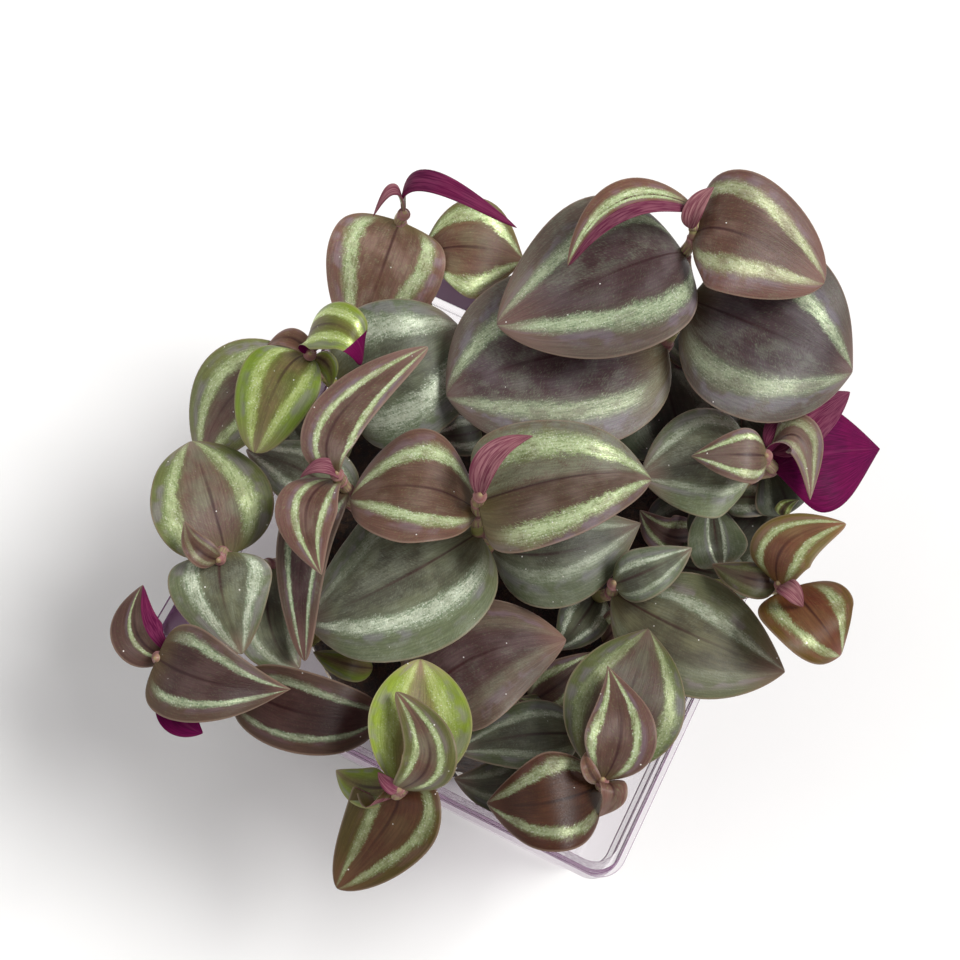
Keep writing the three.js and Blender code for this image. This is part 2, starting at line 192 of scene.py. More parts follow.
SHOOTS = [
    Shoot((602, 448, 50), (652, 375, 74), [
        plum([(666, 342, 88), (534, 361, 92), (447, 396, 86)], 38, 0.36, 0.66, roll=1,
            stripes=(0.64, 0.13, 0.62, 0.14), glow=(0.55, 0.75), bloom=0.3, value=1.2),
        plum([(690, 300, 94), (783, 338, 97), (852, 372, 91)], 36, 0.4, 0.79, fold=10, roll=-7,
            stripes=(0.56, 0.11, 0.66, 0.15), glow=(0.75, 0.5), bloom=(0.15, 0.35), value=0.86),
        plum([(684, 256, 100), (632, 266, 105), (497, 325, 98)], 33.4, 0.57, 0.7, roll=-4,
            stripes=(0.67, 0.15, 0.67, 0.12), glow=(0.85, 0.7), bloom=(0.15, 0.35), warm=0.12),
        brown([(694, 238, 105), (737, 233, 110), (824, 283, 104)], 23.6, 0.49, 0.57, fold=11, roll=-10,
            stripes=(0.72, 0.13, 0.6, 0.16), glow=(0.62, 0.55), bloom=(0.15, 0.2), value=0.93, warm=0.2),
        brown([(692, 207, 109), (620, 202, 114), (568, 266, 107)], 8, 0.4, 0.7, fold=14,
            stripes=(0.1, 0.1, 0.22, 0.2), bloom=0.1, bare=(0, 1, -1, -0.35), value=1.15, warm=0.35),
    ], [
        magenta([(690, 228, 109), (696, 206, 112), (714, 187, 111)], 4.5, fold=35, warm=0.8),
        filler([(738, 418, 66), (700, 408, 70), (663, 398, 68)], 10, 0.5),
        filler([(672, 322, 74), (684, 346, 80), (700, 372, 78)], 9, 0.6),
        filler([(690, 448, 76), (672, 405, 80), (666, 358, 78)], 24, 0.5),
    ]),
    Shoot((458, 412, 50), (425, 300, 74), [
        olive([(418, 257, 86), (469, 247, 89), (524, 261, 85)], 20.5, 0.55, 1, roll=-9,
            stripes=(0.74, 0.16, 0.85, 0.17), value=1.2, warm=0.4),
        brown([(400, 222, 91), (384, 265, 87), (359, 337, 74)], 23.5, 0.45, 0.42, roll=6,
            stripes=(0.66, 0.14, 0.66, 0.15), bloom=0.2, value=1.75, warm=0.1),
        magenta([(404, 214, 95), (418, 180, 102), (466, 196, 104), (517, 228, 96)], 4.6, warm=0.1),
    ], [
        magenta([(404, 214, 95), (393, 190, 100), (373, 217, 97)], 3, fold=30, warm=0.6),
    ]),
    Shoot((402, 448, 50), (360, 405, 70), [
        shade([(342, 392, 79), (407, 366, 85), (462, 331, 81)], 28.5, point=0.4, roll=-15,
            stripes=(0.68, 0.2, 0.6, 0.2), glow=(0.7, 0.8), bloom=0.3),
        olive([(310, 362, 86), (235, 395, 86), (202, 471, 73)], 18.7, 0.47, 0.83, roll=2,
            stripes=(0.6, 0.14, 0.55, 0.16), glow=0.8, bloom=0.2, value=1.2),
        lime([(310, 357, 91), (281, 378, 95), (255, 453, 90)], 15.5, 0.54, 0.54, roll=-1,
            stripes=(0.6, 0.16), glow=(0.7, 0.9)),
        lime([(310, 354, 95), (318, 327, 99), (346, 330, 103), (361, 364, 97)], 10, 0.45, 0.6,
            stripes=(0.6, 0.2, 0.55, 0.2), bare=(0.78, 1, -1, 1), value=1.2),
    ], [
        lime([(313, 358, 91), (328, 366, 91), (330, 388, 86)], 4.5, fold=25, glow=0, value=1.2),
        brown([(311, 354, 92), (288, 338, 91), (265, 350, 87)], 4.5, fold=25, glow=0, value=1.25,
            warm=0.35),
    ]),
    Shoot((335, 545, 50), (285, 562, 70), [
        shade([(268, 566, 75), (272, 632, 76), (300, 668, 71)], 14, glow=0.5, bloom=0.3, value=1.3),
        olive([(226, 556, 83), (208, 488, 87), (191, 442, 82)], 22.6, point=0.64, roll=-9,
            stripes=(0.72, 0.15, 0.58, 0.17), glow=(0.85, 0.8), value=1.1),
        shade([(222, 553, 87), (222, 592, 88), (242, 654, 80)], 18.8, 0.36, 0.72,
            stripes=(0.72, 0.15, 0.55, 0.16), glow=0.95, bloom=(0.35, 0.25), value=1.25, warm=0.1),
        brown([(219, 559, 90), (197, 548, 93), (185, 521, 91)], 5.5, fold=20,
            stripes=(0.5, 0.2, 0.6, 0.15), glow=(0.3, 0.25), value=0.85, warm=0.2),
    ]),
    Shoot((345, 610, 50), (290, 655, 70), [
        plum([(238, 688, 76), (318, 716, 79), (382, 713, 74)], 14.9, 0.35, 0.5, roll=-9,
            stripes=(0.62, 0.1, 0.65, 0.09), glow=(0.6, 0.7), bloom=0, value=0.52, warm=0.6),
        brown([(172, 657, 85), (137, 633, 88), (143, 585, 86)], 9.8, 0.46, fold=16,
            stripes=(0.25, 0.08, 0.8, 0.1), glow=(0.9, 0.2), bloom=0, bare=(0.08, 1, 0.3, 1), value=0.55,
            warm=0.1),
        plum([(158, 658, 89), (216, 683, 91), (291, 689, 86)], 17.4, 0.23, 1, fold=15, roll=-15,
            stripes=(0.68, 0.12, 0.6, 0.1), glow=(0.75, 0.8), bloom=(0.05, 0.1), value=0.72, warm=0.45),
    ], [
        magenta([(170, 690, 84), (180, 718, 82), (203, 733, 79)], 7),
    ]),
    Shoot((395, 530, 50), (362, 512, 74), [
        shade([(352, 502, 82), (300, 470, 79), (246, 450, 74)], 14, stripes=(0.6, 0.15), glow=0.8,
            bloom=0.4, value=1.4),
        plum([(347, 490, 88), (306, 538, 88), (305, 661, 78)], 10.9, 0.41, 0.59, fold=20,
            stripes=(0.66, 0.1, 0.64, 0.1), bloom=(0.25, 0.2), value=0.8, warm=0.3),
        brown([(340, 480, 93), (307, 510, 96), (322, 575, 91)], 12, 0.46, 0.9, fold=15, roll=-10,
            stripes=(0.62, 0.12, 0.4, 0.12), value=1.15, warm=0.1),
        brown([(337, 474, 97), (339, 417, 100), (428, 347, 95)], 10.7, 0.46, 0.63, fold=15, roll=-2,
            stripes=(0.42, 0.13, 0.85, 0.12), glow=(0.9, 1)),
    ], [
        magenta([(341, 478, 96), (322, 466, 99), (300, 478, 96)], 3.5, fold=30, warm=0.6),
        shade([(345, 462, 72), (312, 432, 76), (280, 402, 73)], 15, glow=0.35, value=0.65),
    ]),
    Shoot((490, 575, 50), (486, 555, 70), [
        shade([(490, 546, 76), (558, 553, 80), (641, 523, 76)], 20.5, 0.46, 1, roll=-15,
            stripes=(0.65, 0.12, 0.42, 0.15), glow=(0.3, 0.35), bloom=(0.35, 0.4), value=0.88),
        shade([(478, 533, 83), (392, 584, 86), (306, 622, 74)], 31, 0.4, 0.8, roll=-8,
            stripes=(0.56, 0.13, 0.72, 0.1), glow=(1, 0.45), bloom=(0.3, 0.4), value=1.28),
        brown([(477, 512, 91), (417, 487, 97), (351, 499, 91)], 24, 0.51, 0.6, fold=12, roll=-12,
            stripes=(0.62, 0.12, 0.65, 0.14), bloom=(0.15, 0.1), value=0.95, warm=0.2),
        brown([(478, 502, 96), (585, 475, 101), (651, 480, 95)], 24.5, 0.2, 0.8, fold=13,
            stripes=(0.6, 0.21, 0.72, 0.17), bloom=(0.65, 0.05), value=0.78),
        magenta([(480, 496, 100), (492, 456, 104), (533, 436, 101)], 5.5, fold=30, warm=0.65),
    ], [
        shade([(480, 430, 64), (458, 436, 70), (434, 434, 68)], 9),
        lime([(372, 668, 64), (345, 664, 68), (313, 652, 66)], 6, glow=0),
    ]),
    Shoot((634, 504, 50), (690, 502, 64), [
        shade([(712, 500, 70), (716, 540, 75), (722, 566, 73)], 12, 0.6, 0.6, fold=20, stripes=(0.3, 0.07),
            glow=0.9, bloom=0.4),
        shade([(724, 498, 73), (755, 498, 77), (788, 502, 75)], 8, stripes=(0.5, 0.2, 0.6, 0.2), bloom=0.3,
            value=1.1),
        shade([(752, 476, 81), (713, 462, 86), (641, 477, 82)], 21.8, 0.55, 0.71, roll=3,
            stripes=(0.6, 0.1, 0.84, 0.12), glow=(0.5, 0.6), bloom=(0.3, 0.4), value=1.5),
        magenta([(772, 469, 84), (815, 455, 85), (880, 449, 79)], 22, 0.5, 1.03, roll=-12),
        brown([(764, 459, 88), (799, 438, 91), (810, 500, 87)], 9.5, fold=25, stripes=(0.6, 0.2),
            glow=(0.5, 0.4), warm=0.1),
        brown([(766, 456, 92), (736, 455, 95), (691, 456, 91)], 10.4, 0.34, 0.93, roll=5,
            stripes=(0.7, 0.13)),
    ], [
        magenta([(768, 450, 87), (808, 418, 88), (850, 392, 84)], 10, warm=0.25),
        brown([(700, 532, 62), (668, 536, 68), (640, 510, 66)], 9),
        lime([(786, 518, 76), (784, 508, 80), (799, 500, 78)], 3.5, fold=30, value=0.7),
        filler([(742, 428, 76), (712, 424, 80), (680, 436, 78)], 16, 0.5),
        shade([(704, 566, 66), (738, 536, 71), (776, 496, 70)], 20, glow=0.35, value=0.6),
        filler([(650, 545, 58), (690, 522, 63), (738, 503, 64)], 15, 0.5),
        filler([(784, 446, 74), (764, 432, 77), (742, 412, 76)], 9, 0.5),
        filler([(786, 514, 75), (782, 490, 79), (764, 464, 78)], 12, 0.55),
    ]),
    Shoot((640, 570, 50), (715, 585, 70), [
        olive([(790, 589, 84), (823, 627, 88), (840, 655, 83)], 18.4, 0.26, 0.72, roll=15,
            stripes=(0.6, 0.15), glow=0.75, bloom=0.1, value=0.85, warm=0.9),
        olive([(780, 584, 88), (788, 543, 92), (846, 524, 90)], 12.2, point=0.7, roll=12,
            stripes=(0.6, 0.15), glow=0.75, bloom=0, value=1.08, warm=0.7),
    ], [
        magenta([(781, 586, 88), (792, 592, 92), (803, 607, 88)], 4.5, fold=30, warm=0.8),
        shade([(650, 562, 62), (715, 574, 70), (764, 590, 68)], 12),
        olive([(776, 582, 85), (746, 578, 86), (712, 564, 83)], 7, glow=0.12, bloom=0, value=0.45,
            warm=0.3),
    ]),
    Shoot((560, 650, 50), (578, 715, 68), [
        shade([(580, 735, 72), (520, 736, 74), (455, 752, 70)], 13, stripes=(0.6, 0.13), glow=(0.35, 0.5),
            bloom=0.3, value=0.75),
        olive([(592, 768, 79), (630, 692, 85), (648, 629, 81)], 21.9, 0.41, 0.89, roll=-6,
            stripes=(0.7, 0.13, 0.8, 0.14), glow=(0.45, 0.6), bloom=(0.1, 0), value=0.7),
        brown([(600, 785, 83), (546, 803, 88), (487, 803, 82)], 17.3, 0.4, 0.83, roll=5,
            stripes=(0.68, 0.13, 0.72, 0.17), glow=(0.75, 0.7), bloom=0, value=0.36, warm=0.9),
        brown([(602, 780, 87), (621, 729, 92), (607, 665, 89)], 12.9, 0.41, 1.19, fold=15, roll=-3,
            stripes=(0.8, 0.15, 0.5, 0.12), bloom=0, value=0.85, warm=0.1),
    ], [
        brown([(601, 782, 85), (614, 794, 88), (598, 817, 83)], 5.5, fold=30, glow=0, bloom=(0.4, 0.2),
            value=1.2, warm=0.15),
        brown([(599, 783, 86), (588, 768, 91), (586, 752, 89)], 3.2, fold=30, glow=0, bloom=(0.3, 0.2),
            value=1.2, warm=0.3),
        filler([(580, 742, 67), (520, 782, 68), (454, 778, 64)], 14, 0.8),
        brown([(530, 702, 64), (562, 682, 69), (594, 652, 68)], 10),
        olive([(560, 722, 62), (540, 712, 66), (516, 698, 66)], 8),
    ]),
    Shoot((430, 670, 50), (425, 690, 66), [
        plum([(419, 703, 71), (481, 655, 76), (566, 640, 73)], 25.4, 0.34, 0.74, roll=5,
            stripes=(0.6, 0.13), glow=0.08, bloom=(0, 0.25), value=1.05, warm=0.3),
        olive([(396, 793, 81), (389, 822, 79), (337, 888, 69)], 17.5, 0.42, 0.58,
            stripes=(0.72, 0.14, 0.45, 0.12), glow=0.7, bloom=0, value=0.55, warm=0.75),
        lime([(401, 789, 84), (416, 724, 86), (420, 659, 86)], 18.6, 0.49, 0.77, cup=0.3, roll=-15,
            stripes=(0.6, 0.2), glow=(0.5, 0.6), bloom=0.1, value=1.35),
        olive([(398, 788, 88), (430, 753, 94), (396, 692, 92)], 9.8, 0.4, 0.63, fold=15,
            stripes=(0.6, 0.12, 0.45, 0.14), value=0.85, warm=0.2),
    ], [
        lime([(392, 786, 80), (362, 786, 79), (336, 770, 75)], 7.5, glow=0),
        magenta([(398, 790, 88), (388, 784, 90), (378, 772, 88)], 3, fold=30, warm=0.5),
    ]),
    Shoot((590, 600, 50), (598, 597, 64), [
        shade([(612, 592, 74), (688, 633, 80), (785, 672, 76)], 23.3, 0.5, 0.87, fold=10, roll=-1,
            stripes=(0.48, 0.12, 0.7, 0.12), glow=(0.55, 0.1), bloom=(0.25, 0.1), value=1.05, warm=0.25),
        shade([(614, 584, 79), (650, 570, 83), (692, 548, 80)], 10, stripes=(0.45, 0.15, 0.65, 0.12),
            glow=(0.8, 0.4), bloom=(0.4, 0.3)),
    ], [
        shade([(598, 594, 62), (580, 622, 68), (556, 650, 64)], 10),
        brown([(604, 642, 62), (622, 622, 68), (642, 602, 68)], 7),
    ]),
]


# Materials: small helpers that add nodes to a material's tree.
def colour(code):
    """A shader's colour from a screen colour written as six hexadecimal digits."""
    screen = [int(code[i:i + 2], 16) / 255 for i in (0, 2, 4)]
    return (*[c / 12.92 if c <= 0.04045 else ((c + 0.055) / 1.055) ** 2.4 for c in screen], 1.0)


class Value:
    """An output of a node in a tree, where arithmetic adds the node that works it out."""

    def __init__(self, tree, node, output=0):
        self.tree = tree
        self.node = node
        self.output = output

    def __getitem__(self, output):
        return Value(self.tree, self.node, output)

    def __add__(self, other):
        return self.tree.math("ADD", self, other)

    def __sub__(self, other):
        return self.tree.math("SUBTRACT", self, other)

    def __mul__(self, other):
        return self.tree.math("MULTIPLY", self, other)

    def __pow__(self, other):
        return self.tree.math("POWER", self, other)

    def __abs__(self):
        return self.tree.math("ABSOLUTE", self)

    def ease(self, low, high, least=0.0, most=1.0):
        """A smooth step from least at low to most at high."""
        inputs = {"Value": self, "From Min": low, "From Max": high, "To Min": least, "To Max": most}
        return self.tree.add("MapRange", inputs, interpolation_type="SMOOTHSTEP")


class Tree:
    """A material's node tree, with one call for each kind of node that it takes."""

    def __init__(self, name):
        self.material = bpy.data.materials.new(name)
        self.material.use_nodes = True
        self.tree = self.material.node_tree
        self.tree.nodes.clear()
        self.spot = self.add("TexCoord")["Object"]

    def add(self, kind, inputs=None, **settings):
        """A new node's first output, after its inputs are linked or set: text is a colour."""
        node = self.tree.nodes.new("ShaderNode" + kind)
        for name, value in settings.items():
            setattr(node, name, value)
        for key, value in (inputs or {}).items():
            if isinstance(value, Value):
                self.tree.links.new(value.node.outputs[value.output], node.inputs[key])
            else:
                node.inputs[key].default_value = colour(value) if isinstance(value, str) else value
        return Value(self, node)

    def math(self, operation, *values):
        return self.add("Math", dict(enumerate(values)), operation=operation)

    def mix(self, factor, first, second, blend="MIX"):
        inputs = {0: factor, 6: first, 7: second}
        return self.add("Mix", inputs, data_type="RGBA", blend_type=blend)[2]

    def tint(self, face, value, hue=0.5):
        """The colour made value times as bright, and turned by what hue differs from 0.5."""
        return self.add("HueSaturation", {"Hue": hue, "Value": value, "Color": face})

    def noise(self, scale, detail=2.0, distortion=0.0, over=None):
        """Noise over the places on the piece, or over three other values."""
        vector = self.add("CombineXYZ", dict(enumerate(over))) if over else self.spot
        inputs = {"Vector": vector, "Scale": scale, "Detail": detail, "Distortion": distortion}
        return self.add("TexNoise", inputs)["Fac"]

    def split(self, vector):
        node = self.add("SeparateXYZ", {0: vector})
        return [node[axis] for axis in range(3)]

    def cells(self, scale):
        """The distance to the nearest cell's middle, and that cell's own random number."""
        node = self.add("TexVoronoi", {"Vector": self.spot, "Scale": scale})
        return node["Distance"], self.split(node["Color"])[0]

    def parts(self, name):
        """The three numbers of a mesh attribute."""
        return self.split(self.add("Attribute", attribute_name=name)["Vector"])

    def bump(self, height, strength, distance):
        return self.add("Bump", {"Height": height, "Strength": strength, "Distance": distance})

    def skin(self, **inputs):
        return self.add("BsdfPrincipled", {name.replace("_", " "): inputs[name] for name in inputs})

    def surface(self, **inputs):
        """The material, finished as one plain skin."""
        return self.finished(self.skin(**inputs))

    def juicy(self, face, patch, rough, relief):
        """A plant's skin that lets light in, with its roughness in patches."""
        return self.surface(
            Base_Color=face, Roughness=patch.ease(0.3, 0.7, *rough), Subsurface_Weight=0.1,
            Subsurface_Radius=(1.0, 0.6, 0.4), Subsurface_Scale=0.001,
            Normal=self.bump(*relief, 0.0002),
        )

    def finished(self, shader):
        self.add("OutputMaterial", {"Surface": shader})
        return self.material


class LeafTop(Tree):
    """The tree of a leaf's upper face: its measures and its patterns.

    stripe is the distance from the stripe's middle in half widths of the stripe, rim that
    from the margin in millimetres, and part the part of the midrib.
    """

    def __init__(self, tone):
        super().__init__("leaf_top_" + tone)
        self.tones = TONES[tone]
        across, along, self.seed = self.parts("blade")
        self.stripe, self.rim, self.part = self.parts("marks")
        self.glow, self.value, self.warm = self.parts("mood")
        self.bloom = self.parts("silver")[0]
        self.side = abs(across)
        leaning = (along * 4.0 - self.side * 3.6, (along + self.side) * 1.1, self.seed)
        self.strokes = self.noise(1.0, 3.0, over=leaning)
        self.brush = self.noise(1.0, 3.0, over=(across * 3.0, along * 0.5, self.seed))
        self.veins = self.noise(3.2, 3.0, over=(across, along * 0.1, self.seed))
        self.patch = self.noise(0.16, 3.0, over=(across, along, self.seed))
        self.swell = self.noise(0.3, 2.0, over=(across, along, self.seed + 20.0))
        self.grain = self.noise(3600.0, 1.0)

    def shown(self):
        """How much of a stripe shows: it has ragged edges and fades towards both ends."""
        wander = (self.strokes - 0.5) * 1.5 + (self.swell - 0.5) * 1.6
        inner = (wander - self.stripe).ease(1.2, 0.55)
        outer = (wander + self.stripe).ease(1.5, 0.35)
        ends = self.part.ease(0.02, 0.2) * self.part.ease(0.995, 0.9, 0.35, 1.0)
        return inner * outer * ends * self.swell.ease(0.3, 0.55, 0.55, 1.0) * self.glow

    def silver_and_sheen(self):
        """How much silver lies on the ground, in cloudy patches: partly the leaf's own silver and partly
        painted sheen.
        """
        silver_and_sheen = self.swell * 0.9 + self.strokes * 0.55 + self.bloom * 0.5
        silver_and_sheen = silver_and_sheen.ease(0.78, 1.1) * self.side.ease(0.3, 1.6, 0.25, 1.0)
        return silver_and_sheen * self.grain.ease(0.25, 0.6, 0.55, 1.0) * self.bloom

    def ground(self):
        """What lies under the stripes: a dark middle, margins, violet edges, painted shade along the
        midrib, and silver that is partly painted sheen.
        """
        middle, cloud, margin, stripe_low, _ = self.tones
        face = self.mix(self.patch.ease(0.42, 0.7), middle, cloud)
        face = self.mix(self.stripe.ease(-2.2, 1.2), face, margin)
        frost = self.strokes.ease(0.48, 0.75) * self.grain.ease(0.35, 0.65)
        face = self.mix(frost * 0.35, face, stripe_low)
        violet = self.stripe.ease(0.4, 1.3) * self.stripe.ease(2.8, 1.5)
        violet = violet * self.swell.ease(0.4, 0.6, 0.0, 0.55)
        face = self.mix(violet, face, self.mix(0.55, cloud, "8a7e96"))
        face = self.mix(self.part.ease(0.2, 0.0, 0.0, 0.5), face, "6b653c")
        face = self.mix(self.part.ease(0.78, 1.0, 0.0, 0.45), face, "94766c")
        # Painted shade: a dark line along the midrib, where shade falls in the crease, fading towards the
        # tip.
        crease = self.side.ease(0.5, 0.05) * self.part.ease(0.95, 0.3)
        face = self.mix(crease * 0.75, face, "34161b")
        face = self.mix(self.warm, face, "ffb47c", "MULTIPLY")
        # Silver patches: partly the leaf's own silver, partly painted sheen on the halves that catch the
        # light.
        face = self.mix(self.silver_and_sheen(), face, self.mix(0.4, "8c8a80", stripe_low))
        # value is partly each leaf's own tone and partly painted shade and light, low for leaves that lie
        # in shadow.
        value = self.value * self.veins.ease(0.32, 0.68, 0.86, 1.14)
        return self.tint(face, value, self.seed.ease(0.0, 10.0, 0.494, 0.506))

    def glitter(self):
        """The stripes' colour: brushed from low to high, brightest along the middle, with painted glints
        of near-white.
        """
        stripe_low, stripe_high = self.tones[3:]
        cell, chance = self.cells(4200.0)
        shine = chance * 0.22 + self.strokes * 0.35 + self.brush * 0.75
        shine = shine + abs(self.stripe).ease(1.0, 0.1, -0.05, 0.1)
        face = self.mix(shine.ease(0.42, 0.86), stripe_low, stripe_high)
        # Painted glints: near-white flecks in the stripes that stand in for glittering highlights.
        painted_glint = chance.ease(0.8, 0.92) * cell.ease(0.6, 0.35)
        painted_glint = painted_glint * self.brush.ease(0.35, 0.65, 0.25, 0.85)
        return self.tint(self.mix(painted_glint, face, "f2f5e6"), self.value ** 0.5)

    def specks(self):
        """Where one of the few white specks lies."""
        cell, pick = self.cells(700.0)
        speck = cell.ease(0.11, 0.08) * pick.ease(0.78, 0.8)
        return speck * self.swell.ease(0.5, 0.56)


def leaf_top(tone):
    """The striped upper face, with its pale rim and its specks."""
    sh = LeafTop(tone)
    shown = sh.shown()
    face = sh.mix(shown, sh.ground(), sh.glitter())
    face = sh.mix(sh.rim.ease(0.5, 0.1, 0.0, 0.4), face, "9c8674")
    face = sh.mix(sh.specks(), face, "e8e4dc")
    height = sh.veins * 0.8 + sh.strokes * 0.5 + sh.grain * shown * 0.8
    rough = shown * -0.06 + sh.grain.ease(0.3, 0.7, 0.38, 0.48)
    return sh.surface(
        Base_Color=face, Metallic=shown * 0.3, Roughness=rough, Specular_IOR_Level=0.24,
        Subsurface_Weight=0.05, Subsurface_Radius=(1.0, 0.4, 0.3), Subsurface_Scale=0.0008,
        Normal=sh.bump(height, 0.35, 0.00012),
    )


def leaf_under():
    """The magenta underside: fine veins, paler along the midrib."""
    sh = Tree("leaf_under")
    across, along, seed = sh.parts("blade")
    streak = sh.noise(4.0, 3.0, over=(across, along * 0.08, seed))
    patch = sh.noise(200.0, 2.0)
    face = sh.mix(streak.ease(0.3, 0.75), "4c0434", "6c0a48")
    face = sh.mix(patch.ease(0.35, 0.7, 0.0, 0.2), face, "84154c")
    face = sh.mix(abs(across).ease(0.5, 0.1) * 0.12, face, "974a6b")
    brown = sh.mix(streak.ease(0.35, 0.65), "744049", "a57b78")
    face = sh.mix(sh.parts("mood")[2], face, brown)
    return sh.surface(
        Base_Color=face, Roughness=patch.ease(0.3, 0.7, 0.48, 0.6), Specular_IOR_Level=0.06,
        Normal=sh.bump(streak, 0.4, 0.00012),
    )


def stem_skin():
    """A juicy yellow-green stem that flushes pink towards its nodes."""
    sh = Tree("stem_skin")
    near, along, _ = sh.parts("reach")
    streak = sh.noise(5.0, 3.0, over=(near, along, 0.0))
    patch = sh.noise(400.0, 3.0)
    face = sh.mix(patch.ease(0.35, 0.65), "8d8a4c", "a8a266")
    flush = near.ease(0.55, 1.0) * streak.ease(0.3, 0.6, 0.35, 0.9)
    face = sh.mix(flush, face, "9c5a6b")
    dots, pick = sh.cells(1500.0)
    freckle = dots.ease(0.3, 0.15) * pick.ease(0.6, 0.8, 0.0, 0.5)
    return sh.juicy(sh.mix(freckle, face, "7a3f50"), patch, (0.34, 0.5), (patch, 0.3))


def sheath_skin():
    """The papery sheath at a node: pale green, veined and rimmed with purple."""
    sh = Tree("sheath_skin")
    turn, rise, _ = sh.parts("reach")
    veins = sh.noise(1.0, over=(turn * 26.0, rise, 0.0))
    patch = sh.noise(500.0, 2.0)
    face = sh.mix(veins.ease(0.45, 0.62), "b3a578", "96566a")
    face = sh.mix(rise.ease(0.6, 1.0, 0.0, 0.6), face, "8c4560")
    return sh.juicy(face, patch, (0.4, 0.55), (veins, 0.4))


def peat_skin():
    """Moist fibrous peat: dark crumbs with paler fibres."""
    sh = Tree("peat_skin")
    crumbs = sh.noise(600.0, 8.0, 0.6)
    fibres = sh.noise(1500.0, 3.0, 3.0)
    patch = sh.noise(90.0, 2.0)
    face = sh.mix(crumbs.ease(0.35, 0.7), "1f1510", "4a3627")
    face = sh.mix(fibres.ease(0.62, 0.7, 0.0, 0.6), face, "7a5f42")
    face = sh.mix(patch.ease(0.4, 0.65, 0.0, 0.35), face, "17100c")
    return sh.surface(
        Base_Color=face, Roughness=crumbs.ease(0.3, 0.7, 0.75, 0.95),
        Normal=sh.bump(crumbs + fibres * 0.4, 0.9, 0.0008),
    )


def grainy(name, dark, light, scale, low, high):
    """A pale mineral or root: two colours over a grain, with the grain as relief."""
    sh = Tree(name)
    grain = sh.noise(scale, 4.0)
    face = sh.mix(grain.ease(0.35, 0.65), dark, light)
    return sh.surface(
        Base_Color=face, Roughness=grain.ease(0.3, 0.7, low, high),
        Normal=sh.bump(grain, 0.5, 0.0003),
    )


def clear_plastic():
    """Thin clear plastic that is mauve in its collar and where it is seen edge on."""
    sh = Tree("clear_plastic")
    haze = sh.noise(60.0, 3.0)
    scuffs = sh.noise(900.0, 2.0)
    height = sh.split(sh.spot)[2]
    collar = height.ease(COLLAR_BOTTOM * MM, (COLLAR_BOTTOM + COLLAR_STEP) * MM)
    facing = sh.add("LayerWeight", {"Blend": 0.35})["Facing"]
    solid = facing.ease(0.1, 0.8, 0.03, 0.9) * collar.ease(0.0, 1.0, 0.2, 2.2)
    solid = solid + haze.ease(0.4, 0.7, 0.0, 0.02)
    skin = sh.skin(
        Base_Color=sh.mix(collar, "dcd2de", "946b90"), Specular_IOR_Level=0.6,
        Roughness=scuffs.ease(0.3, 0.7, 0.06, 0.14), Normal=sh.bump(haze, 0.15, 0.001),
    )
    clear = sh.add("BsdfTransparent", {"Color": (0.985, 0.975, 0.985, 1.0)})
    return sh.finished(sh.add("MixShader", {0: solid, 1: clear, 2: skin}))


def floor_paint():
    sh = Tree("floor_paint")
    grain = sh.noise(40.0, 2.0)
    face = sh.mix(grain, "f9f8f6", "fcfbfa")
    return sh.surface(Base_Color=face, Roughness=0.9)


MATERIALS = {
    **{tone: leaf_top(tone) for tone in TONES},
    "under": leaf_under(),
    "stem": stem_skin(),
    "sheath": sheath_skin(),
    "peat": peat_skin(),
    "perlite": grainy("perlite_skin", "cfcac0", "f1eee8", 1400.0, 0.7, 0.9),
    "root": grainy("root_skin", "b9a585", "e6dcc4", 900.0, 0.5, 0.7),
    "plastic": clear_plastic(),
    "floor": floor_paint(),
}


# Meshes: points in millimetres, faces, and vectors that the materials read at each point.
def add_piece(name, points, faces, materials, slot="", stands_for=(), kinds=None, layers=None):
    """A smooth mesh that rides on the root body when slot is given, and hides the nodes it stands for."""
    mesh = bpy.data.meshes.new(name)
    mesh.from_pydata((np.asarray(points) * MM).tolist(), [], faces)
    for label, values in (layers or {}).items():
        layer = mesh.attributes.new(label, "FLOAT_VECTOR", "POINT")
        layer.data.foreach_set("vector", np.asarray(values, np.float32).ravel())
    for material in materials:
        mesh.materials.append(MATERIALS[material])
    if kinds is not None:
        mesh.polygons.foreach_set("material_index", kinds)
    mesh.shade_smooth()
    mesh.update()
    piece = put(name, mesh)
    if slot:
        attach(piece, "root")
    if stands_for:
        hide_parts(*stands_for)
    return piece


# Leaves.
LEAF_ALONG = 44
LEAF_HALF_ACROSS = 20
LEAF_THICKNESS = 0.7
LEAF_CREASE = 0.4
LEAF_THIN_EDGE = 0.35
RIPPLES = 1.6
RIPPLE_SHIFT = 0.35
RIPPLE_HEIGHT = 0.035
STRIPE_PULL = 0.5
STRIPE_PULL_START = 0.2
STRIPE_PULL_POWER = 1.6
STEP = 1e-4


def midrib(leaf, s):
    """Places at the parts s of the curve of lowest degree through evenly paced points."""
    points = np.array([place(p) for p in leaf.places])
    curve = np.polyfit(np.linspace(0, 1, len(points)), points, len(points) - 1)
    return np.column_stack([np.polyval(axis, s) for axis in curve.T])


def unit(rows):
    return rows / np.linalg.norm(rows, axis=-1, keepdims=True)


def half_widths(leaf, s):
    """The half width at the parts s of the midrib: round at the node, pointed at the tip."""
    rise = leaf.point * leaf.widest / (1 - leaf.widest)
    profile = s ** rise * (1 - s) ** leaf.point
    most = leaf.widest ** rise * (1 - leaf.widest) ** leaf.point
    return 0.5 * leaf.width * profile / most


